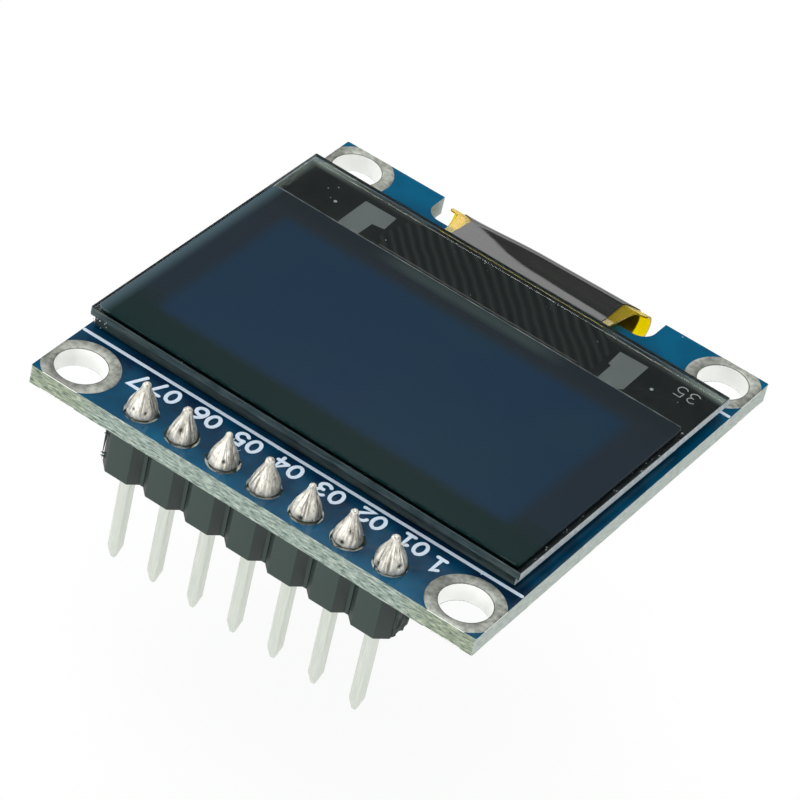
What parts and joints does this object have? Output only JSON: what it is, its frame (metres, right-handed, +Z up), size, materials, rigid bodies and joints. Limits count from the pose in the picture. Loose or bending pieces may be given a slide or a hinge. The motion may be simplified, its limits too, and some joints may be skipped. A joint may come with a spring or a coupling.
{
  "type": "oled display module",
  "caption": "Small graphic OLED panel taped to a carrier board with a folded flex, corner mounting holes and a soldered pin header.",
  "frame": {"origin": "middle of the four mounting holes, on the underside of the board", "axes": "+X along the header row towards pin 1, +Y from the header to the flex, +Z up out of the glass"},
  "size_m": [0.0272, 0.0274, 0.0116],
  "materials": {
    "solder_mask": "blue solder mask over glass-epoxy laminate",
    "plated_ring": "hot-air levelled tin plating",
    "header_plastic": "moulded glass-filled nylon",
    "tinned_pin": "brass wire, matte tin plated",
    "solder": "frozen solder, satin",
    "front_glass": "clear, ground edges",
    "polarizer": "dark circular polarizer film",
    "emitter": "unlit film stack",
    "seal": "cured resin",
    "cap_glass": "dark backed glass",
    "tape": "black foam and film tape",
    "driver_chip": "bare silicon",
    "flex_film": "amber polyimide",
    "flex_cover": "dark glossy cover film",
    "package_plastic": "moulded epoxy",
    "tinned_lead": "tin plated",
    "capacitor_body": "fired ceramic",
    "resistor_body": "black glaze on white ceramic"
  },
  "bodies": {
    "root": {"circuit_board": "solder_mask", "mounting_ring_1": "plated_ring", "mounting_ring_2": "plated_ring", "mounting_ring_3": "plated_ring", "mounting_ring_4": "plated_ring", "header_pads": "plated_ring", "header_housing": "header_plastic", "header_pin_1": "tinned_pin", "header_pin_2": "tinned_pin", "header_pin_3": "tinned_pin", "header_pin_4": "tinned_pin", "header_pin_5": "tinned_pin", "header_pin_6": "tinned_pin", "header_pin_7": "tinned_pin", "solder_joint_1": "solder", "solder_joint_2": "solder", "solder_joint_3": "solder", "solder_joint_4": "solder", "solder_joint_5": "solder", "solder_joint_6": "solder", "solder_joint_7": "solder", "front_glass": "front_glass", "polarizer": "polarizer", "emitter_layer": "emitter", "edge_seal": "seal", "cap_glass": "cap_glass", "mounting_tape": "tape", "driver_chip": "driver_chip", "blackout_tape": "tape", "flex_base": "flex_film", "flex_cover": "flex_cover", "flex_solder": "solder", "regulator_body": "package_plastic", "regulator_leads": "tinned_lead", "diode_body": "package_plastic", "diode_leads": "tinned_lead", "capacitor_1": "capacitor_body", "capacitor_2": "capacitor_body", "capacitor_3": "capacitor_body", "capacitor_4": "capacitor_body", "capacitor_5": "capacitor_body", "capacitor_6": "capacitor_body", "capacitor_7": "capacitor_body", "capacitor_8": "capacitor_body", "capacitor_ends": "solder", "resistor_1": "resistor_body", "resistor_2": "resistor_body", "resistor_3": "resistor_body", "resistor_4": "resistor_body", "resistor_5": "resistor_body", "resistor_6": "resistor_body", "resistor_ends": "solder"}
  },
  "joints": []
}
